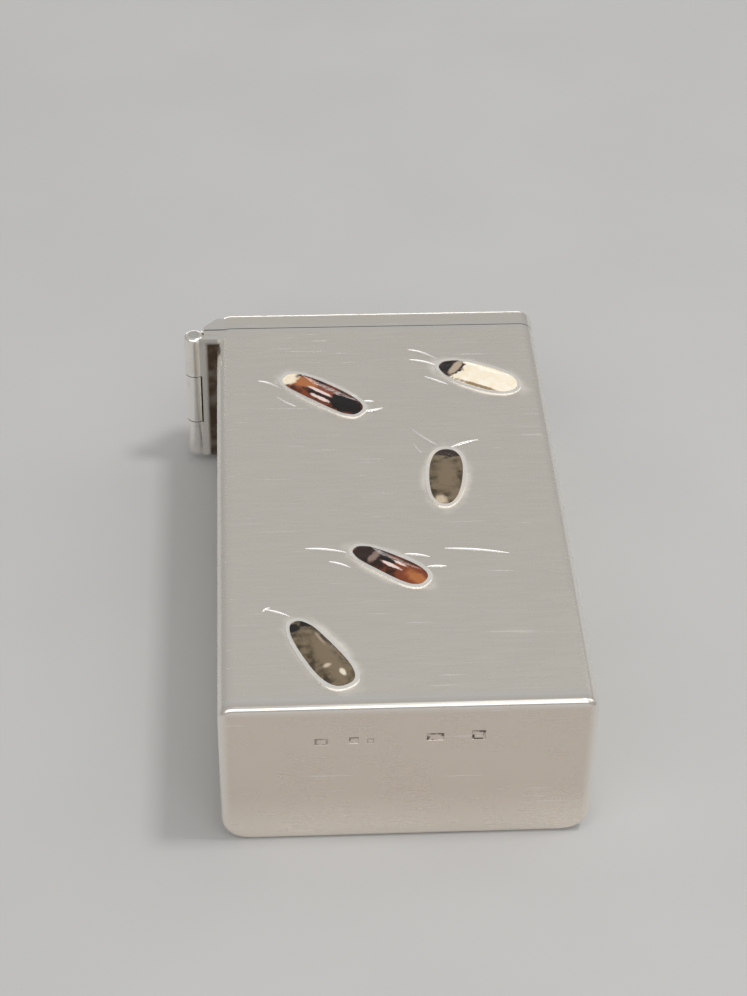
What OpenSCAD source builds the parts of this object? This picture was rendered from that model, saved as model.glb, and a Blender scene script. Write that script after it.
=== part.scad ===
// Silver pocket match case with a hinged end cap and five hardstone inlays in its broad face.
// The case lies on its plain back: X across the width, Y along the length towards the cap, Z up.
// The origin is the middle of the flat face that it lies on, half way between base and joint.

/* [Case] */
// Width across the two narrow walls
case_w = 34; // [32:0.5:44]
// Length from the outer face of the base to the joint with the cap
case_l = 58.4; // [54:0.2:75]
// Thickness of the case, from its back to its inlaid face
case_h = 16.6; // [15:0.2:22]
// Sheet thickness of the case wall
wall_t = 0.9; // [0.8:0.1:1.2]
// Rounding of the two long edges beside the inlaid face
face_edge_r = 1.5; // [1.3:0.1:2]
// Rounding of the two long edges beside the back
back_edge_r = 2.6; // [2.2:0.1:3.4]
// Thickness of the plate that closes the base
base_t = 1; // [0.8:0.1:1.6]
// Rounding around the outer face of the base plate
base_round = 0.5; // [0.3:0.1:0.7]

/* [Mouth collar] */
// Sheet thickness of the collar
collar_t = 0.5; // [0.3:0.1:0.8]
// Length of collar soldered inside the case
collar_seat = 6; // [4:0.5:8]
// Length of collar that stands out of the mouth
collar_reach = 1.6; // [1:0.1:1.8]

/* [Cap] */
// Depth of the cap from the joint to its outer face
cap_d = 3.3; // [3.2:0.1:5]
// Thickness of the cap's outer face
cap_end_t = 1; // [0.8:0.1:1.1]
// Rounding around the outer face of the cap
cap_round = 1.2; // [0.8:0.1:1.3]
// Open line between the case and the cap when shut
joint_gap = 0.1; // [0.06:0.02:0.2]
// Room between the collar and the walls of the cap
collar_clear = 0.2; // [0.14:0.02:0.3]
// Height of the cap's underside above the resting face, so that it swings free
cap_lift = 0.1; // [0.05:0.05:0.3]

/* [Hinge] */
// Distance from the narrow wall out to the hinge axis
hinge_reach = 2.45; // [2.2:0.05:3]
// Distance from the joint back to the hinge axis
hinge_setback = 0.75; // [0.6:0.05:0.9]
// Outside diameter of the knuckles
barrel_d = 2.1; // [1.9:0.1:2.3]
// Diameter of the hinge pin
pin_d = 0.9; // [0.7:0.1:1.1]
// Radial room between the pin and the bores it passes through
pin_clear = 0.03; // [0.02:0.01:0.06]
// Height of the hinge's lower end above the resting face
hinge_foot = 1; // [0.6:0.1:1.6]
// Depth of the hinge's upper end below the inlaid face
hinge_head = 0.1; // [0.05:0.05:0.4]
// Length of the lower knuckle
lower_knuckle_l = 4.6; // [3.6:0.1:5]
// Length of the upper knuckle
upper_knuckle_l = 4.9; // [3.6:0.1:5]
// Open line between one knuckle and the next
knuckle_gap = 0.08; // [0.06:0.02:0.16]
// Rounding at the two ends of the barrel
barrel_round = 0.4; // [0.2:0.1:0.5]
// Depth to which each bearer holds the round of its knuckles
bearer_bite = 0.5; // [0.3:0.05:0.6]
// Room around a knuckle that turns in a bearer
swing_clear = 0.16; // [0.12:0.02:0.2]

/* [Inlay] */
// Thickness of the backing plate behind the stones
backing_t = 0.4; // [0.3:0.1:0.8]
// Space between the backing plate and the walls beside it
backing_gap = 0.3; // [0.2:0.1:0.6]
// Sheet thickness of the collets around the stones
collet_t = 0.4; // [0.3:0.05:0.5]
// Height of a collet's burnished lip above the face
collet_lip = 0.12; // [0.08:0.02:0.2]
// Height of a stone's crown above its edge
stone_crown = 0.35; // [0.2:0.05:0.5]
// Height of a stone's edge above the face
stone_edge = 0.04; // [0.02:0.02:0.06]

/* [Striker] */
// Length of the striker plate across the cap
striker_l = 24; // [18:0.5:26]
// Width of the striker plate
striker_w = 9; // [7:0.5:10]
// Thickness of the striker plate without its ribs
striker_t = 0.3; // [0.2:0.05:0.4]
// Height of the striker's ribs
rib_h = 0.25; // [0.15:0.05:0.3]
// Distance from one rib to the next
rib_pitch = 0.8; // [0.6:0.1:1.2]

/* [Hidden] */
SILVER = [0.76, 0.74, 0.7];
WORN_SILVER = [0.66, 0.63, 0.58];
RUSSET = [0.45, 0.16, 0.07];
CREAM = [0.86, 0.78, 0.6];
SMOKY = [0.33, 0.29, 0.2];
OLIVE = [0.36, 0.33, 0.26];

// Where the long run of the case begins and ends
base_y = -case_l / 2;
joint_y = case_l / 2;
cap_y = joint_y + joint_gap;
cap_wall = wall_t - collar_clear;
cap_h = case_h - cap_lift;

hinge_x = -case_w / 2 - hinge_reach;
hinge_y = joint_y - hinge_setback;
barrel_r = barrel_d / 2;
bore_r = pin_d / 2 + pin_clear;
hinge_top = case_h - hinge_head;
seam_low = hinge_foot + lower_knuckle_l;
seam_high = hinge_top - upper_knuckle_l;

// A bearer grips its knuckles up to this far from the hinge axis
grip = barrel_r - bearer_bite;
// A bearer reaches this far in under the rounded edge it is fitted against
bearer_root = -case_w / 2 + back_edge_r;

backing_top = case_h - wall_t;
outline_steps = 48;
round_steps = 64;
eps = 0.01;

// Each stone: length, width, share of the half width, share of the half length, turn of its head end,
// fullness towards the head, bend, and bluntness of its ends (1 is an ellipse, less is blunter)
UPPER_LEFT = [9.8, 3.1, -0.361, 0.585, -40, 0.02, 0.2, 0.68];
UPPER_RIGHT = [8.8, 3.8, 0.601, 0.679, 151, -0.08, 0.05, 0.9];
MIDDLE = [8.7, 3.3, 0.33, 0.106, 84, 0.1, 0, 0.85];
LOWER_MIDDLE = [8.1, 2.7, -0.042, -0.346, 143, -0.16, -0.1, 0.72];
LOWER_LEFT = [9.6, 3.2, -0.45, -0.757, 118, -0.2, 0.05, 0.76];
STONES = [UPPER_LEFT, UPPER_RIGHT, MIDDLE, LOWER_MIDDLE, LOWER_LEFT];

// Outline of the case seen along its length, with its lower edge on y = 0
module section(w, h, face_r, back_r) {
    translate([-w / 2, back_r])
        square([w, h - face_r - back_r]);
    translate([-w / 2 + back_r, 0])
        square([w - 2 * back_r, back_r + eps]);
    translate([-w / 2 + face_r, h - face_r - eps])
        square([w - 2 * face_r, face_r + eps]);
    for (side = [-1, 1]) {
        translate([side * (w / 2 - back_r), back_r])
            circle(back_r, $fn = round_steps);
        translate([side * (w / 2 - face_r), h - face_r])
            circle(face_r, $fn = round_steps);
    }
}

// Length of that outline along Y, drawn in by inset on every side
module run(y0, y1, inset = 0, lift = 0) {
    translate([0, y1, lift + inset])
        rotate([90, 0, 0])
            linear_extrude(y1 - y0)
                section(case_w - 2 * inset, case_h - lift - 2 * inset,
                        max(face_edge_r - inset, 0.2), max(back_edge_r - inset, 0.2));
}

// Closed end with a rounded rim: its outer face lies on y = 0 and it grows towards +Y
module round_end(depth, rim_r, lift = 0) {
    h = case_h - lift;
    translate([0, depth, lift])
        rotate([90, 0, 0])
            linear_extrude(depth - rim_r)
                section(case_w, h, face_edge_r, back_edge_r);
    translate([0, rim_r, lift + rim_r])
        rotate([90, 0, 0])
            linear_extrude(rim_r)
                section(case_w - 2 * rim_r, h - 2 * rim_r, face_edge_r - rim_r, back_edge_r - rim_r);
    translate([0, rim_r, lift])
        rotate([90, 0, 0])
            rim(case_w, h, rim_r);
}

// Quarter-round rim that stands on the section's outline, up to z = rim_r
module rim(w, h, rim_r) {
    straight_rim(w - 2 * face_edge_r, rim_r, [0, h], 0);
    straight_rim(w - 2 * back_edge_r, rim_r, [0, 0], 180);
    for (side = [-1, 1]) {
        straight_rim(h - face_edge_r - back_edge_r, rim_r,
                     [side * w / 2, (h - face_edge_r + back_edge_r) / 2], -side * 90);
        corner_rim(face_edge_r, rim_r, [side * (w / 2 - face_edge_r), h - face_edge_r], side > 0 ? 0 : 90);
        corner_rim(back_edge_r, rim_r, [side * (w / 2 - back_edge_r), back_edge_r], side > 0 ? 270 : 180);
    }
}

module straight_rim(l, rim_r, at, turn) {
    translate([at.x, at.y, 0])
        rotate(turn)
            translate([-l / 2, -rim_r, 0])
                rotate([90, 0, 90])
                    linear_extrude(l)
                        quarter_disc(rim_r);
}

module corner_rim(r, rim_r, at, turn) {
    translate([at.x, at.y, 0])
        rotate(turn)
            rotate_extrude(angle = 90, $fn = round_steps)
                translate([r - rim_r, 0])
                    quarter_disc(rim_r);
}

module quarter_disc(r) {
    intersection() {
        circle(r, $fn = round_steps);
        square(r);
    }
}

// Outline of a stone with its head towards +X, grown on all sides by edge
function stone_outline(s, edge) = [
    for (i = [0 : outline_steps - 1])
        let (t = 360 * i / outline_steps, x = blunt(cos(t), s[7]), y = blunt(sin(t), s[7]))
            [(s[0] / 2 + edge) * x, (s[1] / 2 + edge) * y * (1 + s[5] * x) + s[6] * (1 - x * x)]
];
function blunt(v, power) = sign(v) * pow(abs(v), power);

module at_stone(s) {
    translate([s[2] * case_w / 2, s[3] * case_l / 2, 0])
        rotate(s[4])
            children();
}

module stone_prism(s, edge, z0, z1) {
    at_stone(s)
        translate([0, 0, z0])
            linear_extrude(z1 - z0)
                polygon(stone_outline(s, edge));
}

// A collet passes through the wall and stands on the backing plate
module collet(s) {
    color(SILVER)
        difference() {
            stone_prism(s, collet_t, backing_top, case_h + collet_lip);
            stone_prism(s, 0, backing_top - 1, case_h + collet_lip + 1);
        }
}

// A stone has a flat back on the backing plate and a low crown that falls to its edge all round
module stone(s, tint) {
    color(tint)
        intersection() {
            stone_prism(s, 0, backing_top, case_h + 1);
            at_stone(s)
                translate([0, 0, case_h + stone_edge + stone_crown - dome_r(s[0])])
                    rotate([90, 0, 0])
                        sphere(dome_r(s[0]), $fn = 360);
            at_stone(s)
                translate([-s[0], 0, case_h + stone_edge + stone_crown - dome_r(s[1])])
                    rotate([0, 90, 0])
                        cylinder(r = dome_r(s[1]), h = 2 * s[0], $fn = 180);
        }
}

// Radius of an arc that rises by the crown over the given span
function dome_r(span) = (pow(span / 2, 2) + pow(stone_crown, 2)) / (2 * stone_crown);

module case_wall() {
    color(SILVER)
        difference() {
            run(base_y + base_t, joint_y);
            run(base_y + base_t - 1, joint_y + 1, wall_t);
            for (s = STONES)
                stone_prism(s, collet_t, backing_top - 1, case_h + 1);
        }
}

module base_plate() {
    color(SILVER)
        translate([0, base_y, 0])
            round_end(base_t, base_round);
}

module mouth_collar() {
    color(WORN_SILVER)
        difference() {
            run(joint_y - collar_seat, joint_y + collar_reach, wall_t);
            run(joint_y - collar_seat - 1, joint_y + collar_reach + 1, wall_t + collar_t);
        }
}

module inlay_backing() {
    y0 = base_y + base_t + backing_gap;
    y1 = joint_y - collar_seat - backing_gap;
    w = case_w - 2 * (wall_t + face_edge_r);
    color(WORN_SILVER)
        translate([-w / 2, y0, backing_top - backing_t])
            cube([w, y1 - y0, backing_t]);
}

// Round space about the hinge axis
module about_axis(r, z0, z1) {
    translate([hinge_x, hinge_y, z0])
        cylinder(r = r, h = z1 - z0, $fn = round_steps);
}

// A knuckle is a tube whose ends may be rounded on the outside
module knuckle(z0, z1, foot_r, head_r) {
    l = z1 - z0;
    translate([hinge_x, hinge_y, z0])
        rotate_extrude($fn = round_steps) {
            translate([bore_r, foot_r])
                square([barrel_r - bore_r, l - foot_r - head_r]);
            translate([bore_r, 0])
                square([barrel_r - bore_r - max(foot_r, head_r), l]);
            if (foot_r > 0)
                translate([barrel_r - foot_r, foot_r])
                    mirror([0, 1])
                        quarter_disc(foot_r);
            if (head_r > 0)
                translate([barrel_r - head_r, l - head_r])
                    quarter_disc(head_r);
        }
}

// Bar on the narrow wall that carries the two outer knuckles
module case_bearer() {
    front_y = hinge_y - barrel_r + bearer_bite / 5;
    back_y = joint_y - joint_gap / 2;
    color(SILVER)
        difference() {
            translate([hinge_x + grip, front_y, hinge_foot])
                cube([bearer_root - hinge_x - grip, back_y - front_y, hinge_top - hinge_foot]);
            run(base_y, joint_y + 1);
            about_axis(barrel_r, hinge_foot - 1, hinge_top + 1);
            about_axis(barrel_r + swing_clear, seam_low - knuckle_gap, seam_high + knuckle_gap);
        }
}

module lower_knuckle() {
    color(SILVER)
        knuckle(hinge_foot, seam_low - knuckle_gap / 2, barrel_round, 0);
}

module upper_knuckle() {
    color(SILVER)
        knuckle(seam_high + knuckle_gap / 2, hinge_top, 0, barrel_round);
}

module hinge_pin() {
    color(WORN_SILVER)
        translate([hinge_x, hinge_y, hinge_foot])
            cylinder(d = pin_d, h = hinge_top - hinge_foot, $fn = round_steps);
}

module cap_outer() {
    translate([0, joint_y + cap_d, 0])
        mirror([0, 1, 0])
            round_end(cap_d - joint_gap, cap_round, cap_lift);
}

module cap_shell() {
    color(SILVER)
        difference() {
            cap_outer();
            run(cap_y - 1, joint_y + cap_d - cap_end_t, cap_wall, cap_lift);
        }
}

// Wedge behind the joint that ties the middle knuckle to the cap
module cap_bearer() {
    tip_x = hinge_x + barrel_r;
    seat_x = hinge_x - barrel_r / 2;
    heel_y = joint_y + cap_d - cap_round;
    lip_y = hinge_y + barrel_r + bearer_bite;
    color(SILVER)
        difference() {
            union() {
                wedge([[bearer_root, cap_y], [tip_x, cap_y], [tip_x, cap_y + bearer_bite],
                       [-case_w / 2 - eps, heel_y], [bearer_root, heel_y]],
                      hinge_foot, hinge_top);
                wedge([[tip_x + eps, cap_y], [seat_x, cap_y], [seat_x, lip_y],
                       [tip_x + eps, lip_y + eps]],
                      seam_low + knuckle_gap, seam_high - knuckle_gap);
            }
            run(cap_y - 1, joint_y + cap_d, 0, cap_lift);
            about_axis(barrel_r, seam_low, seam_high);
            about_axis(barrel_r + swing_clear, hinge_foot - 1, seam_low + knuckle_gap);
            about_axis(barrel_r + swing_clear, seam_high - knuckle_gap, hinge_top + 1);
        }
}

module wedge(points, z0, z1) {
    translate([0, 0, z0])
        linear_extrude(z1 - z0)
            polygon(points);
}

module cap_knuckle() {
    color(SILVER)
        knuckle(seam_low + knuckle_gap / 2, seam_high - knuckle_gap / 2, 0, 0);
}

// Ribbed plate soldered inside the cap's end, with its ribs towards the mouth
module striker_plate() {
    ribs = floor(striker_l / rib_pitch);
    teeth = [for (i = [0 : ribs - 1]) each [[i * rib_pitch, 0], [(i + 0.5) * rib_pitch, rib_h]]];
    profile = concat([[0, -striker_t]], teeth, [[ribs * rib_pitch, 0], [ribs * rib_pitch, -striker_t]]);
    color(WORN_SILVER)
        translate([-ribs * rib_pitch / 2, joint_y + cap_d - cap_end_t - striker_t, case_h / 2 - striker_w / 2])
            linear_extrude(striker_w)
                mirror([0, 1])
                    polygon(profile);
}

case_wall();
base_plate();
mouth_collar();
inlay_backing();
collet(UPPER_LEFT);  // collet_upper_left
collet(UPPER_RIGHT);  // collet_upper_right
collet(MIDDLE);  // collet_middle
collet(LOWER_MIDDLE);  // collet_lower_middle
collet(LOWER_LEFT);  // collet_lower_left
stone(UPPER_LEFT, RUSSET);  // stone_upper_left
stone(UPPER_RIGHT, CREAM);  // stone_upper_right
stone(MIDDLE, SMOKY);  // stone_middle
stone(LOWER_MIDDLE, RUSSET);  // stone_lower_middle
stone(LOWER_LEFT, OLIVE);  // stone_lower_left
case_bearer();
lower_knuckle();
upper_knuckle();
hinge_pin();
cap_shell();
cap_bearer();
cap_knuckle();
striker_plate();
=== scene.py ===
"""Looks of a hinged silver match case that lies on its back, set with five hardstone insects."""

import math

import bmesh
import bpy
from mathutils import Matrix, Vector


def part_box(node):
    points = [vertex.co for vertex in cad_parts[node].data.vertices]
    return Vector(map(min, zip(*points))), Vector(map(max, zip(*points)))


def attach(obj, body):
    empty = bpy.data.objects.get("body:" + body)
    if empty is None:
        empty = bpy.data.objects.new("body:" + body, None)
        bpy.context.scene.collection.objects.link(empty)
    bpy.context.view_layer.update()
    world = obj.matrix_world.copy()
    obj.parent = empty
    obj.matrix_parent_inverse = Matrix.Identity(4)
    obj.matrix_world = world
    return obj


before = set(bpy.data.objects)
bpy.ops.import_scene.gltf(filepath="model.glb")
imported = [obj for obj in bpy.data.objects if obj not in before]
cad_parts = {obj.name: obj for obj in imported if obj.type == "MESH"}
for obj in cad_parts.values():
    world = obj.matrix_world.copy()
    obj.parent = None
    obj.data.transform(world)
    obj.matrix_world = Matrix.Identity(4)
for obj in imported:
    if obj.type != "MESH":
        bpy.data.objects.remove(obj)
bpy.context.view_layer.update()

MM = 0.001

# Camera, worked out from the straight edges of the photographed case
IMAGE_HEIGHT = 996
SENSOR = 36.0
FOCAL_PIXELS = 2384.728
NEAREST = 0.005
CAMERA_PLACE = Vector((-12.98554, -180.73360, 163.24339)) * MM
CAMERA_RIGHT = Vector((0.99859871, -0.0510836, 0.01382346))
CAMERA_UP = Vector((0.02142331, 0.6290652, 0.77705728))
CAMERA_BACK = Vector((-0.04839074, -0.77567225, 0.62927808))

# Floor, in metres, and the shares by which its light and dark clouds differ from its colour
FLOOR_SIZE = 1.6
FLOOR_COLOUR = (0.50, 0.498, 0.493)
FLOOR_LIGHT = 1.015
FLOOR_DARK = 0.985
FLOOR_ROUGHNESS = 0.75

# Surroundings: the low tint turns into the high one between these rises of the view direction
ROOM_LOW = (0.37, 0.363, 0.352)
ROOM_HIGH = (0.48, 0.474, 0.464)
ROOM_RISE_LOW = 0.1
ROOM_RISE_HIGH = 0.9

# Lamps, in metres and watts, and the two points that they aim at
CASE_MIDDLE = Vector((0.0, 0.0, 0.0))
CAP_MIDDLE = Vector((0.0, 0.03, 0.01))
KEY_PLACE = Vector((0.28, -0.02, 0.74))
KEY_SIZE = (0.11, 0.11)
KEY_POWER = 1.7
SOFT_PLACE = Vector((0.42, 0.0, 0.70))
SOFT_SIZE = (0.80, 0.90)
SOFT_POWER = 1.0
BACK_PLACE = Vector((-0.06, 0.80, 0.13))
BACK_SIZE = (0.60, 0.12)
BACK_POWER = 0.60
SIDE_PLACE = Vector((0.60, 0.30, 0.36))
SIDE_SIZE = (0.34, 0.34)
SIDE_POWER = 0.30
FRONT_PLACE = Vector((-0.10, -0.42, 0.46))
FRONT_SIZE = (1.10, 0.46)
FRONT_POWER = 1.75

# Tints of the metal
SILVER = (0.93, 0.892, 0.825)
SILVER_CLEAN = (0.97, 0.955, 0.93)
# Darker, warmer silver; on the base it is painted shade, the base being the same silver as the wall
SILVER_WARM = (0.79, 0.70, 0.615)
# Paler silver for the painted glow low on the base
SILVER_PAINTED_GLOW = (0.93, 0.86, 0.78)
SILVER_DULL = (0.66, 0.61, 0.53)
SILVER_RING_SHEEN = (0.97, 0.92, 0.85)
COLLET_PAINTED_SHEEN = (0.97, 0.91, 0.82)
BRIGHT_CUT = (0.98, 0.97, 0.95)
# Tarnish brown, also used as painted shade down the hinge recess
TARNISH_AND_SHADE = (0.085, 0.052, 0.030)
PUNCH_DIRT = (0.075, 0.050, 0.034)
STEEL = (0.60, 0.585, 0.56)

# Tints of the stones
BLACK = (0.006, 0.004, 0.004)
BROWN_BLACK = (0.022, 0.010, 0.007)
RUST = (0.20, 0.048, 0.017)
ORANGE = (0.40, 0.14, 0.045)
IVORY = (0.95, 0.88, 0.75)
CREAM = (0.90, 0.79, 0.60)
PAINTED_GLINT_PINK = (0.80, 0.64, 0.58)
PAINTED_GLINT_BUFF = (0.74, 0.66, 0.54)
SAND = (0.55, 0.45, 0.33)
PAINTED_GLINT_COOL = (0.55, 0.46, 0.36)
TAN = (0.45, 0.36, 0.27)
UMBER = (0.32, 0.25, 0.18)
BROWN = (0.30, 0.21, 0.12)
MAUVE_BROWN = (0.24, 0.17, 0.14)
OLIVE = (0.050, 0.036, 0.019)
OLIVE_LIGHT = (0.19, 0.145, 0.092)

# Wear of the metal: its width in millimetres, how pale it is, and how far it moves the roughness
EDGE_WIDTH = 1.1
EDGE_PALENESS = 0.75
EDGE_POLISH = 0.08
SCRATCH_PALENESS = 0.6
SCRATCH_ROUGHNESS = 0.10
HAIRLINE_ROUGHNESS = 0.02
CLOUD_ROUGHNESS_LOW = -0.015
CLOUD_ROUGHNESS_HIGH = 0.03

# Hairlines: the turn of each set about the three axes, in degrees, and the stretch of all
HAIRLINE_TURNS = {"across": (0, 0, 7), "aslant": (0, 0, 52), "along": (0, 0, 94)}
HAIRLINE_STRETCH = (0.16, 3.0, 3.0)

# Frosted ring round each stone, its pale colour a painted highlight of the raised setting lip: how
# far it reaches, in millimetres, and how strongly it shows
RING_REACH = 0.65
RING_SOFT = 0.24
RING_GROWTH = 0.06
RING_SHRINKAGE = 0.08
RING_SHEEN_PALENESS = 0.8
RING_ROUGHNESS = 0.24

# Roughness that dirt and tarnish add
DIRT_ROUGHNESS = 0.2

# How far inside a face its own marks start to fade and are gone, in millimetres
TOP_FADE_START = 0.1
TOP_FADE_END = 0.3
BASE_FADE_START = 0.2
BASE_FADE_END = 0.4

# Painted glow low on the base, a painted reflection of the lit floor: its strength, and the heights
# between which it fades, in millimetres
FOOT_GLOW_STRENGTH = 0.85
FOOT_LOW = 0.5
FOOT_HIGH = 6.5

# Painted shade, with patchy tarnish, down the recess by the hinge, in millimetres out from the
# wall's side and down from its top
RECESS_OUT_FULL = 0.9
RECESS_OUT_END = 1.35
RECESS_DOWN_START = 0.4
RECESS_DOWN_FULL = 0.9

# Stones: their optics, and how far patches wander, light flecks show and wear roughens them
STONE_IOR = 1.54
STONE_SPECULAR = 0.35
STONE_WANDER = 0.28
STONE_FLECKS = 0.35
STONE_WEAR = 0.12

# The five insects: the CAD node names end in these, and each head points along the turn, in degrees
HEAD_TURN = {
    "upper_left": -40,
    "upper_right": 151,
    "middle": 84,
    "lower_middle": 143,
    "lower_left": 118,
}

# Length and width of each body, in millimetres
BODY_LENGTH = {
    "upper_left": 9.8,
    "upper_right": 8.8,
    "middle": 8.7,
    "lower_middle": 8.1,
    "lower_left": 9.6,
}
BODY_WIDTH = {
    "upper_left": 3.1,
    "upper_right": 3.8,
    "middle": 3.3,
    "lower_middle": 2.7,
    "lower_left": 3.2,
}

# Legs and feelers, cut bright into the wall: start, bend and end of each, in millimetres
FEELERS = {
    "upper_left": [
        ((-12.7, 19.7), (-11.6, 19.6), (-10.3, 18.2)),
        ((-11.0, 17.1), (-10.2, 16.0), (-8.9, 15.2)),
        ((-1.9, 15.9), (-1.4, 15.9), (-0.9, 15.8)),
        ((-2.0, 14.2), (-1.0, 14.2), (0.0, 14.7)),
    ],
    "upper_right": [
        ((3.2, 24.8), (4.5, 24.7), (6.2, 23.0)),
        ((3.2, 23.0), (4.7, 22.9), (6.2, 21.8)),
        ((4.6, 20.0), (5.6, 19.4), (7.0, 18.5)),
    ],
    "middle": [
        ((2.6, 11.2), (3.6, 9.6), (5.1, 8.3)),
        ((2.7, 8.7), (2.9, 7.8), (3.6, 6.9)),
        ((6.3, 7.7), (7.4, 8.6), (9.3, 9.0)),
    ],
    "lower_middle": [
        ((-8.6, -7.4), (-6.6, -7.4), (-4.7, -8.1)),
        ((-6.4, -9.4), (-5.4, -9.6), (-4.4, -10.3)),
        ((0.8, -8.5), (2.0, -8.5), (3.2, -9.0)),
        ((2.8, -10.4), (3.8, -10.3), (4.7, -10.4)),
        ((4.7, -7.8), (7.6, -7.9), (10.8, -8.7)),
    ],
    "lower_left": [
        ((-12.5, -16.0), (-11.4, -16.3), (-10.3, -17.0)),
        ((-12.8, -16.3), (-12.6, -15.9), (-12.1, -15.7)),
    ],
}

# A cut line's width and height, in millimetres, and its steps from end to end
FEELER_WIDTH = 0.20
FEELER_RIDGE = 0.07
FEELER_STEPS = 14

# Its section, across and up, in shares of its half width and its height
FEELER_SECTION = ((-1.0, 0.0), (-0.62, 1.0), (0.0, 0.12), (0.62, 1.0), (1.0, 0.0))

# Its taper follows a half wave: where the line starts on it, how much it takes, and the power
TAPER_START = 0.06
TAPER_SPAN = 0.90
TAPER_POWER = 0.7

# Blank punch marks on the base, in millimetres: centre across, centre up, half width, half
# height, and the share of the full depth
PUNCHES = [
    (-7.8, 12.4, 0.66, 0.40, 0.55),
    (-4.9, 12.5, 0.44, 0.40, 0.65),
    (-3.4, 12.4, 0.34, 0.30, 0.35),
    (2.4, 12.7, 0.82, 0.46, 0.85),
    (6.3, 12.8, 0.64, 0.58, 1.0),
]
PUNCH_DEPTH = 0.10

# Shares of a mark's half size: where its flat bottom ends, and where dirt starts and is full
PUNCH_BOTTOM = 0.85
PUNCH_DIRT_START = 0.45
PUNCH_DIRT_FULL = 0.80

# Sockets of a Mix node that mixes colours, whose names other sockets share
MIX_SHARE = 0
MIX_FIRST = 6
MIX_SECOND = 7
MIX_RESULT = 2


class Graph:
    """The node tree of a material or world, and short ways to add to it."""

    def __init__(self, owner):
        self.owner = owner
        owner.use_nodes = True
        self.tree = owner.node_tree
        self.tree.nodes.clear()

    def node(self, kind, inputs=None, **settings):
        made = self.tree.nodes.new(kind)
        for key, value in settings.items():
            setattr(made, key, value)
        for key, value in (inputs or {}).items():
            self.feed(made.inputs[key], value)
        return made

    def feed(self, socket, value):
        if isinstance(value, bpy.types.NodeSocket):
            self.tree.links.new(value, socket)
        elif socket.type == "RGBA" and len(value) == 3:
            socket.default_value = (*value, 1.0)
        else:
            socket.default_value = value

    def place(self):
        """The point on the surface, in millimetres."""
        coordinates = self.node("ShaderNodeTexCoord")
        inputs = {"Vector": coordinates.outputs["Object"], "Scale": 1.0 / MM}
        return self.node("ShaderNodeVectorMath", inputs, operation="SCALE").outputs[0]

    def maths(self, operation, *values):
        inputs = dict(enumerate(values))
        return self.node("ShaderNodeMath", inputs, operation=operation).outputs[0]

    def mix(self, share, first, second):
        """A colour: the first where the share is 0, and the second where it is 1."""
        inputs = {MIX_SHARE: share, MIX_FIRST: first, MIX_SECOND: second}
        return self.node("ShaderNodeMix", inputs, data_type="RGBA").outputs[MIX_RESULT]

    def step(self, value, low, high, start=0.0, end=1.0):
        """start below low, end above high, and a smooth change between them."""
        inputs = {
            "Value": value,
            "From Min": low,
            "From Max": high,
            "To Min": start,
            "To Max": end,
        }
        made = self.node("ShaderNodeMapRange", inputs, interpolation_type="SMOOTHSTEP")
        return made.outputs[0]

    def fall(self, value, low, high, start=1.0):
        """start below low, 0 above high, and a smooth fall between them."""
        return self.step(value, low, high, start, 0.0)

    def noise(self, place, scale, detail=3.0, roughness=0.55):
        inputs = {"Vector": place, "Scale": scale, "Detail": detail, "Roughness": roughness}
        return self.node("ShaderNodeTexNoise", inputs).outputs["Fac"]

    def turned(self, place, turn, stretch):
        """The place turned by three angles in degrees, and stretched along each turned axis."""
        inputs = {
            "Vector": place,
            "Rotation": tuple(math.radians(angle) for angle in turn),
            "Scale": stretch,
        }
        return self.node("ShaderNodeMapping", inputs, vector_type="POINT").outputs[0]

    def local(self, place, centre, turn, half_size):
        """The place in a piece's own axes, from -1 to 1 along each half size."""
        inputs = {
            "Vector": place,
            "Location": centre,
            "Rotation": (0.0, 0.0, math.radians(turn)),
            "Scale": half_size,
        }
        return self.node("ShaderNodeMapping", inputs, vector_type="TEXTURE").outputs[0]

    def parts(self, vector):
        return self.node("ShaderNodeSeparateXYZ", {"Vector": vector}).outputs

    def bump(self, height, strength, distance, normal=None):
        """A normal that the height tilts. The distance is in millimetres."""
        inputs = {"Height": height, "Strength": strength, "Distance": distance * MM}
        if normal is not None:
            inputs["Normal"] = normal
        return self.node("ShaderNodeBump", inputs).outputs[0]

    def finish(self, **inputs):
        """The material, with one shader whose sockets are fed by name."""
        named = {}
        for key, value in inputs.items():
            socket = key.replace("_", " ").title().replace("Ior", "IOR")
            named[socket] = value
        shader = self.node("ShaderNodeBsdfPrincipled", named)
        self.node("ShaderNodeOutputMaterial", {"Surface": shader.outputs[0]})
        return self.owner


def new_finish(name):
    return Graph(bpy.data.materials.new(name))


def new_object(name, data):
    piece = bpy.data.objects.new(name, data)
    bpy.context.scene.collection.objects.link(piece)
    return piece


def middle_of(node):
    """The middle of a node's box, in millimetres."""
    low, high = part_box(node)
    return tuple((low[axis] + high[axis]) / 2 / MM for axis in range(3))


def half_body(name, more=0.0):
    """Half a body's length and width, with some millimetres more on each, and 1 upwards."""
    return (BODY_LENGTH[name] / 2 + more, BODY_WIDTH[name] / 2 + more, 1.0)


def blob(g, axes, centre, size, soft, wander):
    """A soft oval, 1 inside and 0 outside, in a piece's own axes, with a wandering outline."""
    across = g.maths("DIVIDE", g.maths("SUBTRACT", axes[0], centre[0]), size[0])
    along = g.maths("DIVIDE", g.maths("SUBTRACT", axes[1], centre[1]), size[1])
    squares = g.maths(
        "ADD",
        g.maths("MULTIPLY", across, across),
        g.maths("MULTIPLY", along, along),
    )
    reach = g.maths("ADD", g.maths("SQRT", squares), wander)
    return g.fall(reach, 1.0 - soft, 1.0 + soft)


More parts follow.
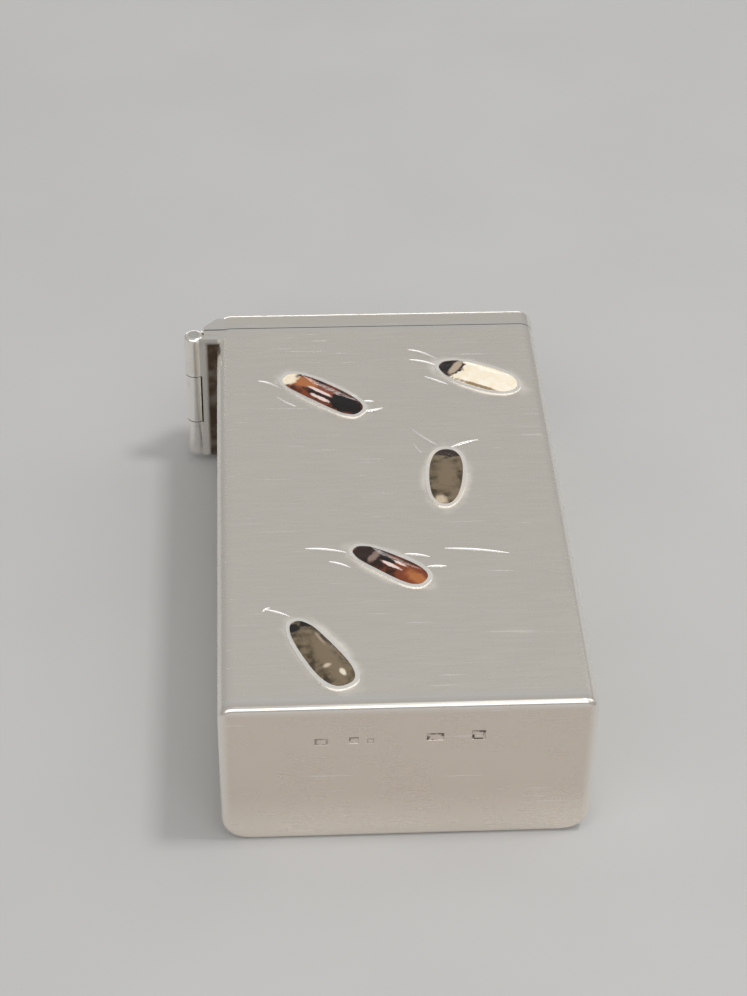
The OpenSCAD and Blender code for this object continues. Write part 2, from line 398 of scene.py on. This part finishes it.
def hairlines(g, place):
    """Fine polishing scratches: along the narrow walls, and across and aslant on other faces."""
    streaks = {}
    for name, turn in HAIRLINE_TURNS.items():
        turned = g.turned(place, turn, HAIRLINE_STRETCH)
        streaks[name] = g.noise(turned, scale=1.5, detail=2.0, roughness=0.6)
    broad = g.maths("MULTIPLY", g.maths("ADD", streaks["across"], streaks["aslant"]), 0.5)
    facing = g.node("ShaderNodeTexCoord").outputs["Normal"]
    narrow = g.step(g.maths("ABSOLUTE", g.parts(facing)[0]), 0.4, 0.8)
    change = g.maths("SUBTRACT", streaks["along"], broad)
    return g.maths("ADD", broad, g.maths("MULTIPLY", change, narrow))


def scratches(g, place):
    """Sparse pale scratches, a few millimetres long, in two directions."""
    first = g.turned(place, turn=(10, 0, 25), stretch=(0.12, 3.5, 3.5))
    second = g.turned(place, turn=(0, 15, -38), stretch=(0.10, 4.0, 4.0))
    first = g.noise(first, scale=0.9, detail=2.0, roughness=0.5)
    second = g.noise(second, scale=0.8, detail=2.0, roughness=0.5)
    return g.maths("MAXIMUM", g.step(first, 0.70, 0.76), g.step(second, 0.71, 0.77))


def edge_mask(g, place, node):
    """1 along the edges of a node's box, fading to 0 over the width of worn edges."""
    low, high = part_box(node)
    ways = []
    for axis in range(3):
        value = g.parts(place)[axis]
        from_low = g.maths("SUBTRACT", value, low[axis] / MM)
        from_high = g.maths("SUBTRACT", high[axis] / MM, value)
        ways.append(g.maths("MINIMUM", from_low, from_high))
    smaller = g.maths("MINIMUM", ways[0], ways[1])
    larger = g.maths("MAXIMUM", ways[0], ways[1])
    second_smallest = g.maths("MAXIMUM", smaller, g.maths("MINIMUM", larger, ways[2]))
    return g.fall(second_smallest, 0.0, EDGE_WIDTH)


def silver(name, node, tint=SILVER, rough=0.27, dull=0.18, tarnish=0.0, extra=None):
    """Worn solid silver: satin polish, hairlines, small knocks and slight dulling."""
    g = new_finish(name)
    place = g.place()
    clouds = g.noise(place, scale=0.22, detail=4.0, roughness=0.6)
    fine = hairlines(g, place)
    marks = scratches(g, place)
    edges = edge_mask(g, place, node)
    knocks = g.step(g.noise(place, scale=1.6, detail=2.0, roughness=0.4), 0.72, 0.80)

    colour = g.mix(g.step(clouds, 0.25, 0.85, end=dull), tint, SILVER_DULL)
    colour = g.mix(g.maths("MULTIPLY", marks, SCRATCH_PALENESS), colour, SILVER_CLEAN)
    colour = g.mix(g.maths("MULTIPLY", edges, EDGE_PALENESS), colour, SILVER_CLEAN)
    if tarnish > 0.0:
        clots = g.noise(place, scale=0.55, detail=5.0, roughness=0.65)
        patches = g.step(clots, 0.60 - 0.22 * tarnish, 0.72)
        colour = g.mix(g.maths("MULTIPLY", patches, tarnish), colour, TARNISH_AND_SHADE)

    smooth = rough + CLOUD_ROUGHNESS_LOW
    matt = rough + CLOUD_ROUGHNESS_HIGH
    roughness = g.step(clouds, 0.3, 0.7, smooth, matt)
    streaky = g.step(fine, 0.35, 0.65, -HAIRLINE_ROUGHNESS, HAIRLINE_ROUGHNESS)
    roughness = g.maths("ADD", roughness, streaky)
    roughness = g.maths("ADD", roughness, g.maths("MULTIPLY", marks, SCRATCH_ROUGHNESS))
    roughness = g.maths("SUBTRACT", roughness, g.maths("MULTIPLY", edges, EDGE_POLISH))

    waves = g.noise(place, scale=0.09, detail=1.0, roughness=0.4)
    normal = g.bump(waves, strength=0.35, distance=0.10)
    normal = g.bump(fine, strength=0.06, distance=0.002, normal=normal)
    dents = g.maths("SUBTRACT", marks, knocks)
    normal = g.bump(dents, strength=0.35, distance=0.012, normal=normal)
    if extra is not None:
        colour, roughness, normal = extra(g, place, colour, roughness, normal)
    return g.finish(base_color=colour, metallic=1.0, roughness=roughness, normal=normal)


def frosted_rings_and_painted_sheen(g, place, colour, roughness, normal):
    """Frosted silver round each stone, where the wall was worked down on it, painted pale as a
    highlight on the raised lip.
    """
    rings = 0.0
    for name, turn in HEAD_TURN.items():
        centre = middle_of("stone_" + name)
        axes = g.parts(g.local(place, centre, turn, half_body(name, RING_REACH)))
        ragged = g.noise(place, scale=0.7, detail=2.0, roughness=0.5)
        wander = g.step(ragged, 0.3, 0.7, -RING_GROWTH, RING_SHRINKAGE)
        ring = blob(g, axes, (0.0, 0.0), (1.0, 1.0), RING_SOFT, wander)
        rings = g.maths("MAXIMUM", rings, ring)
    wall_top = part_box("case_wall")[1][2] / MM
    height = g.parts(place)[2]
    on_top = g.step(height, wall_top - TOP_FADE_END, wall_top - TOP_FADE_START)
    rings = g.maths("MULTIPLY", rings, on_top)
    # Painted highlight: the ring's silver is paled to show the raised lip catching the light; the
    # frosting itself is roughness and bump
    colour = g.mix(g.maths("MULTIPLY", rings, RING_SHEEN_PALENESS), colour, SILVER_RING_SHEEN)
    roughness = g.maths("ADD", roughness, g.maths("MULTIPLY", rings, RING_ROUGHNESS))
    grain = g.noise(place, scale=3.2, detail=3.0, roughness=0.6)
    frost = g.maths("MULTIPLY", grain, rings)
    normal = g.bump(frost, strength=0.3, distance=0.02, normal=normal)
    return colour, roughness, normal


def blank_punches(g, place, colour, roughness, normal):
    """A row of blank struck marks: bare inside, with dirt left round the edges, and painted light
    that grows paler towards the foot of the base.
    """
    axes = g.parts(place)
    sunk = 0.0
    dirty = 0.0
    for across, up, half_width, half_height, depth in PUNCHES:
        aside = g.maths("ABSOLUTE", g.maths("SUBTRACT", axes[0], across))
        above = g.maths("ABSOLUTE", g.maths("SUBTRACT", axes[2], up))
        side = g.maths("DIVIDE", aside, half_width)
        rise = g.maths("DIVIDE", above, half_height)
        reach = g.maths("MAXIMUM", side, rise)
        inside = g.maths("MULTIPLY", g.fall(reach, PUNCH_BOTTOM, 1.0), depth)
        rim = g.step(reach, PUNCH_DIRT_START, PUNCH_DIRT_FULL)
        rim = g.maths("MULTIPLY", rim, inside)
        sunk = g.maths("MAXIMUM", sunk, inside)
        dirty = g.maths("MAXIMUM", dirty, rim)
    base_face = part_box("base_plate")[0][1] / MM
    outside = g.fall(axes[1], base_face + BASE_FADE_START, base_face + BASE_FADE_END)
    dirty = g.maths("MULTIPLY", dirty, outside)
    worn = g.step(g.noise(place, scale=1.7, detail=2.0, roughness=0.5), 0.38, 0.56)
    # Painted light: the base's silver turns paler towards its foot, a painted reflection of the lit
    # floor
    painted_floor_glow = g.fall(axes[2], FOOT_LOW, FOOT_HIGH, start=FOOT_GLOW_STRENGTH)
    colour = g.mix(painted_floor_glow, colour, SILVER_PAINTED_GLOW)
    colour = g.mix(g.maths("MULTIPLY", dirty, worn), colour, PUNCH_DIRT)
    roughness = g.maths("ADD", roughness, g.maths("MULTIPLY", dirty, DIRT_ROUGHNESS))
    pressed = g.maths("MULTIPLY", sunk, g.maths("MULTIPLY", outside, -1.0))
    normal = g.bump(pressed, strength=0.9, distance=PUNCH_DEPTH, normal=normal)
    return colour, roughness, normal


def hinge_recess_shade(g, place, colour, roughness, normal):
    """Painted shade, dark brown and patchy like tarnish, down the recess between the barrel and the
    wall.
    """
    axes = g.parts(place)
    low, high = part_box("case_wall")
    wall_side = low[0] / MM
    wall_top = high[2] / MM
    near_wall = g.step(axes[0], wall_side - RECESS_OUT_END, wall_side - RECESS_OUT_FULL)
    below_top = g.fall(axes[2], wall_top - RECESS_DOWN_FULL, wall_top - RECESS_DOWN_START)
    clots = g.noise(place, scale=0.45, detail=3.0, roughness=0.6)
    patchy = g.step(clots, 0.30, 0.60, 0.80, 0.97)
    share = g.maths("MULTIPLY", g.maths("MULTIPLY", near_wall, below_top), patchy)
    # Painted shade: the recess is darkened almost fully to tarnish brown, in patches
    colour = g.mix(share, colour, TARNISH_AND_SHADE)
    roughness = g.maths("ADD", roughness, g.maths("MULTIPLY", share, DIRT_ROUGHNESS))
    return colour, roughness, normal


def stone(name, deep, light, layers, polish=0.10):
    """Polished hardstone: clouded between two colours, then painted over in soft patches."""
    g = new_finish("finish_stone_" + name)
    place = g.place()
    centre = middle_of("stone_" + name)
    axes = g.parts(g.local(place, centre, HEAD_TURN[name], half_body(name)))
    ragged = g.noise(place, scale=1.1, detail=4.0, roughness=0.6)
    wander = g.step(ragged, 0.25, 0.75, -STONE_WANDER, STONE_WANDER)

    clouds = g.noise(place, scale=0.9, detail=5.0, roughness=0.62)
    colour = g.mix(g.step(clouds, 0.36, 0.64), deep, light)
    for patch_centre, size, soft, tint in layers:
        colour = g.mix(blob(g, axes, patch_centre, size, soft, wander), colour, tint)
    specks = g.noise(place, scale=4.5, detail=3.0, roughness=0.7)
    colour = g.mix(g.step(specks, 0.62, 0.72, end=STONE_FLECKS), colour, light)

    wiped = g.noise(place, scale=2.2, detail=3.0, roughness=0.6)
    roughness = g.step(wiped, 0.3, 0.7, polish, polish + STONE_WEAR)
    waves = g.noise(place, scale=0.9, detail=2.0, roughness=0.5)
    pits = g.noise(place, scale=3.5, detail=2.0, roughness=0.5)
    normal = g.bump(waves, strength=0.6, distance=0.16)
    normal = g.bump(pits, strength=0.25, distance=0.03, normal=normal)
    return g.finish(
        base_color=colour,
        roughness=roughness,
        normal=normal,
        ior=STONE_IOR,
        specular_ior_level=STONE_SPECULAR,
    )


def stone_finishes():
    """Each insect's patches, along it from the tail (-1) to the head (1) and across it: centre,
    half size, softness and colour."""
    russet = [
        ((-0.15, 0.0), (0.75, 0.80), 0.30, RUST),
        ((-0.55, 0.2), (0.30, 0.55), 0.30, ORANGE),
        ((-0.95, 0.0), (0.22, 0.90), 0.25, CREAM),
        ((0.00, -0.35), (0.45, 0.30), 0.25, BROWN_BLACK),
        # Painted highlights: the two pale pink patches stand for glints on the polished stone
        ((-0.05, -0.05), (0.30, 0.13), 0.30, PAINTED_GLINT_PINK),
        ((0.10, -0.55), (0.25, 0.12), 0.30, PAINTED_GLINT_PINK),
        ((0.62, 0.0), (0.36, 0.85), 0.12, BLACK),
    ]
    cream = [
        ((0.75, 0.0), (0.33, 1.2), 0.10, BROWN_BLACK),
        ((0.62, 0.0), (0.10, 0.75), 0.30, TAN),
        ((0.84, 0.0), (0.14, 0.50), 0.20, BLACK),
        ((-0.2, 0.82), (0.55, 0.10), 0.30, BROWN),
    ]
    smoky = [
        ((0.0, 0.0), (0.60, 0.60), 0.50, OLIVE_LIGHT),
        ((0.92, 0.0), (0.26, 1.1), 0.15, BROWN_BLACK),
        ((-0.85, 0.2), (0.14, 0.35), 0.40, SAND),
    ]
    rust_black = [
        ((-0.65, 0.0), (0.45, 1.0), 0.30, RUST),
        ((-0.75, 0.1), (0.25, 0.50), 0.40, ORANGE),
        ((0.60, 0.0), (0.48, 1.1), 0.20, BROWN_BLACK),
        ((0.45, 0.0), (0.10, 0.70), 0.30, MAUVE_BROWN),
        # Painted highlights: the two pale pink patches stand for glints on the polished stone
        ((-0.05, 0.15), (0.28, 0.16), 0.25, PAINTED_GLINT_PINK),
        ((-0.15, -0.35), (0.22, 0.12), 0.25, PAINTED_GLINT_PINK),
        ((0.10, -0.20), (0.22, 0.22), 0.25, BLACK),
    ]
    olive = [
        ((-0.2, 0.0), (0.70, 0.60), 0.50, OLIVE_LIGHT),
        ((0.90, 0.45), (0.14, 0.40), 0.20, BLACK),
        ((0.90, -0.45), (0.14, 0.40), 0.20, BLACK),
        # Painted highlights: these two light spots stand for glints on the polished body
        ((-0.38, 0.34), (0.05, 0.22), 0.50, PAINTED_GLINT_COOL),
        ((-0.66, -0.20), (0.08, 0.14), 0.50, PAINTED_GLINT_BUFF),
        ((0.35, -0.45), (0.20, 0.10), 0.45, UMBER),
    ]
    return {
        "upper_left": stone("upper_left", BROWN_BLACK, RUST, russet),
        "upper_right": stone("upper_right", CREAM, IVORY, cream, polish=0.16),
        "middle": stone("middle", OLIVE, OLIVE_LIGHT, smoky),
        "lower_middle": stone("lower_middle", BROWN_BLACK, RUST, rust_black),
        "lower_left": stone("lower_left", OLIVE, OLIVE_LIGHT, olive),
    }


def paint(node, material):
    """Gives a CAD node its finish, in every slot that it has."""
    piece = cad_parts[node]
    if not piece.material_slots:
        piece.data.materials.append(material)
    for slot in piece.material_slots:
        slot.material = material


def stroke_points(start, bend, end):
    """Points along one cut line, a curve that its bend pulls aside."""
    start, bend, end = (Vector((*point, 0.0)) for point in (start, bend, end))
    points = []
    for index in range(FEELER_STEPS + 1):
        share = index / FEELER_STEPS
        rest = 1 - share
        points.append(start * rest ** 2 + bend * 2 * share * rest + end * share ** 2)
    return points


def stroke_rows(mesh, points, height):
    """A row of corners across the cut line at each of its points."""
    rows = []
    for index, point in enumerate(points):
        before = points[max(index - 1, 0)]
        after = points[min(index + 1, FEELER_STEPS)]
        along = (after - before).normalized()
        side = Vector((-along.y, along.x, 0.0))
        wave = math.sin(math.pi * (TAPER_START + TAPER_SPAN * index / FEELER_STEPS))
        taper = wave ** TAPER_POWER
        row = []
        for across, rise in FEELER_SECTION:
            spot = point + side * across * taper * FEELER_WIDTH / 2
            level = height + rise * FEELER_RIDGE * taper
            row.append(mesh.verts.new((spot.x * MM, spot.y * MM, level * MM)))
        rows.append(row)
    return rows


def engraving(name, lines, height, material):
    """Cut lines with a bright V between two low burrs, tapered to both ends."""
    mesh = bmesh.new()
    for line in lines:
        rows = stroke_rows(mesh, stroke_points(*line), height)
        for first, second in zip(rows, rows[1:]):
            for index in range(len(FEELER_SECTION) - 1):
                corners = (first[index], first[index + 1], second[index + 1], second[index])
                mesh.faces.new(corners)
    data = bpy.data.meshes.new(name)
    mesh.normal_update()
    mesh.to_mesh(data)
    mesh.free()
    piece = new_object(name, data)
    data.materials.append(material)
    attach(piece, "case")


def floor():
    """A plain pale floor with a fine even tooth."""
    g = new_finish("finish_floor")
    place = g.place()
    grain = g.noise(place, scale=0.9, detail=5.0, roughness=0.7)
    clouds = g.noise(place, scale=0.035, detail=2.0, roughness=0.5)
    light = tuple(value * FLOOR_LIGHT for value in FLOOR_COLOUR)
    dark = tuple(value * FLOOR_DARK for value in FLOOR_COLOUR)
    colour = g.mix(g.step(clouds, 0.35, 0.65), light, dark)
    normal = g.bump(grain, strength=0.25, distance=0.06)
    material = g.finish(base_color=colour, roughness=FLOOR_ROUGHNESS, normal=normal)
    mesh = bmesh.new()
    bmesh.ops.create_grid(mesh, x_segments=1, y_segments=1, size=FLOOR_SIZE / 2)
    data = bpy.data.meshes.new("floor")
    mesh.to_mesh(data)
    mesh.free()
    piece = new_object("floor", data)
    data.materials.append(material)


def lamp(name, place, target, size, power):
    """A rectangular soft lamp aimed at a point."""
    data = bpy.data.lights.new(name, "AREA")
    data.shape = "RECTANGLE"
    data.size, data.size_y = size
    data.energy = power
    piece = new_object(name, data)
    piece.location = place
    piece.rotation_euler = (target - place).to_track_quat("-Z", "Y").to_euler()


def room():
    """Soft surroundings, a little brighter overhead."""
    world = bpy.data.worlds.new("room")
    bpy.context.scene.world = world
    g = Graph(world)
    direction = g.node("ShaderNodeTexCoord").outputs["Generated"]
    inputs = {
        "Value": g.parts(direction)[2],
        "From Min": ROOM_RISE_LOW,
        "From Max": ROOM_RISE_HIGH,
    }
    rise = g.node("ShaderNodeMapRange", inputs).outputs[0]
    sky = g.node("ShaderNodeBackground", {"Color": g.mix(rise, ROOM_LOW, ROOM_HIGH)})
    g.node("ShaderNodeOutputWorld", {"Surface": sky.outputs[0]})


def camera():
    """The photograph's camera, whose sensor width spans the image's height."""
    data = bpy.data.cameras.new("camera")
    data.sensor_width = SENSOR
    data.lens = FOCAL_PIXELS * SENSOR / IMAGE_HEIGHT
    data.clip_start = NEAREST
    piece = new_object("camera", data)
    turn = Matrix((CAMERA_RIGHT, CAMERA_UP, CAMERA_BACK)).transposed()
    piece.matrix_world = Matrix.Translation(CAMERA_PLACE) @ turn.to_4x4()
    bpy.context.scene.camera = piece


def finishes():
    """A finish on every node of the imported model."""
    paint("case_wall", silver("finish_wall", "case_wall", extra=frosted_rings_and_painted_sheen))
    # Painted shade: the base, the same silver as the wall, gets a darker, warmer tint so that its
    # face reads darker
    base = silver(
        "finish_base", "base_plate", tint=SILVER_WARM, rough=0.25, extra=blank_punches
    )
    paint("base_plate", base)
    paint("cap_shell", silver("finish_cap", "cap_shell", rough=0.24, dull=0.22))
    inside = silver(
        "finish_inside", "mouth_collar", tint=SILVER_WARM, rough=0.32, dull=0.5, tarnish=0.35
    )
    for node in ("mouth_collar", "inlay_backing"):
        paint(node, inside)
    hinge = silver(
        "finish_hinge", "case_bearer", rough=0.24, dull=0.3, tarnish=0.2, extra=hinge_recess_shade
    )
    for node in ("case_bearer", "cap_bearer"):
        paint(node, hinge)
    knuckles = silver(
        "finish_knuckles", "upper_knuckle", rough=0.22, dull=0.3, tarnish=0.18, extra=hinge_recess_shade
    )
    for node in ("lower_knuckle", "upper_knuckle", "cap_knuckle"):
        paint(node, knuckles)
    pin = silver("finish_pin", "hinge_pin", tint=STEEL, rough=0.22, dull=0.3, tarnish=0.3)
    paint("hinge_pin", pin)
    striker = silver(
        "finish_striker", "striker_plate", tint=SILVER_DULL, rough=0.42, dull=0.6, tarnish=0.5
    )
    paint("striker_plate", striker)
    # Painted highlight: the collets' silver is tinted pale and creamy to show their rims catching
    # the light
    rim = silver("finish_collet", "collet_middle", tint=COLLET_PAINTED_SHEEN, rough=0.50, dull=0.0)
    stones = stone_finishes()
    for name in HEAD_TURN:
        paint("collet_" + name, rim)
        paint("stone_" + name, stones[name])


def engravings():
    """The feelers and legs of the five insects."""
    bright = silver("finish_bright_cut", "case_wall", tint=BRIGHT_CUT, rough=0.42, dull=0.0)
    wall_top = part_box("case_wall")[1][2] / MM
    for name, lines in FEELERS.items():
        engraving("engraving_" + name, lines, wall_top, bright)


camera()
room()
floor()
lamp("key", KEY_PLACE, CASE_MIDDLE, KEY_SIZE, KEY_POWER)
lamp("soft", SOFT_PLACE, CASE_MIDDLE, SOFT_SIZE, SOFT_POWER)
lamp("back", BACK_PLACE, CAP_MIDDLE, BACK_SIZE, BACK_POWER)
lamp("side", SIDE_PLACE, CASE_MIDDLE, SIDE_SIZE, SIDE_POWER)
lamp("front", FRONT_PLACE, CASE_MIDDLE, FRONT_SIZE, FRONT_POWER)
finishes()
engravings()
bpy.context.scene.view_settings.view_transform = "Standard"
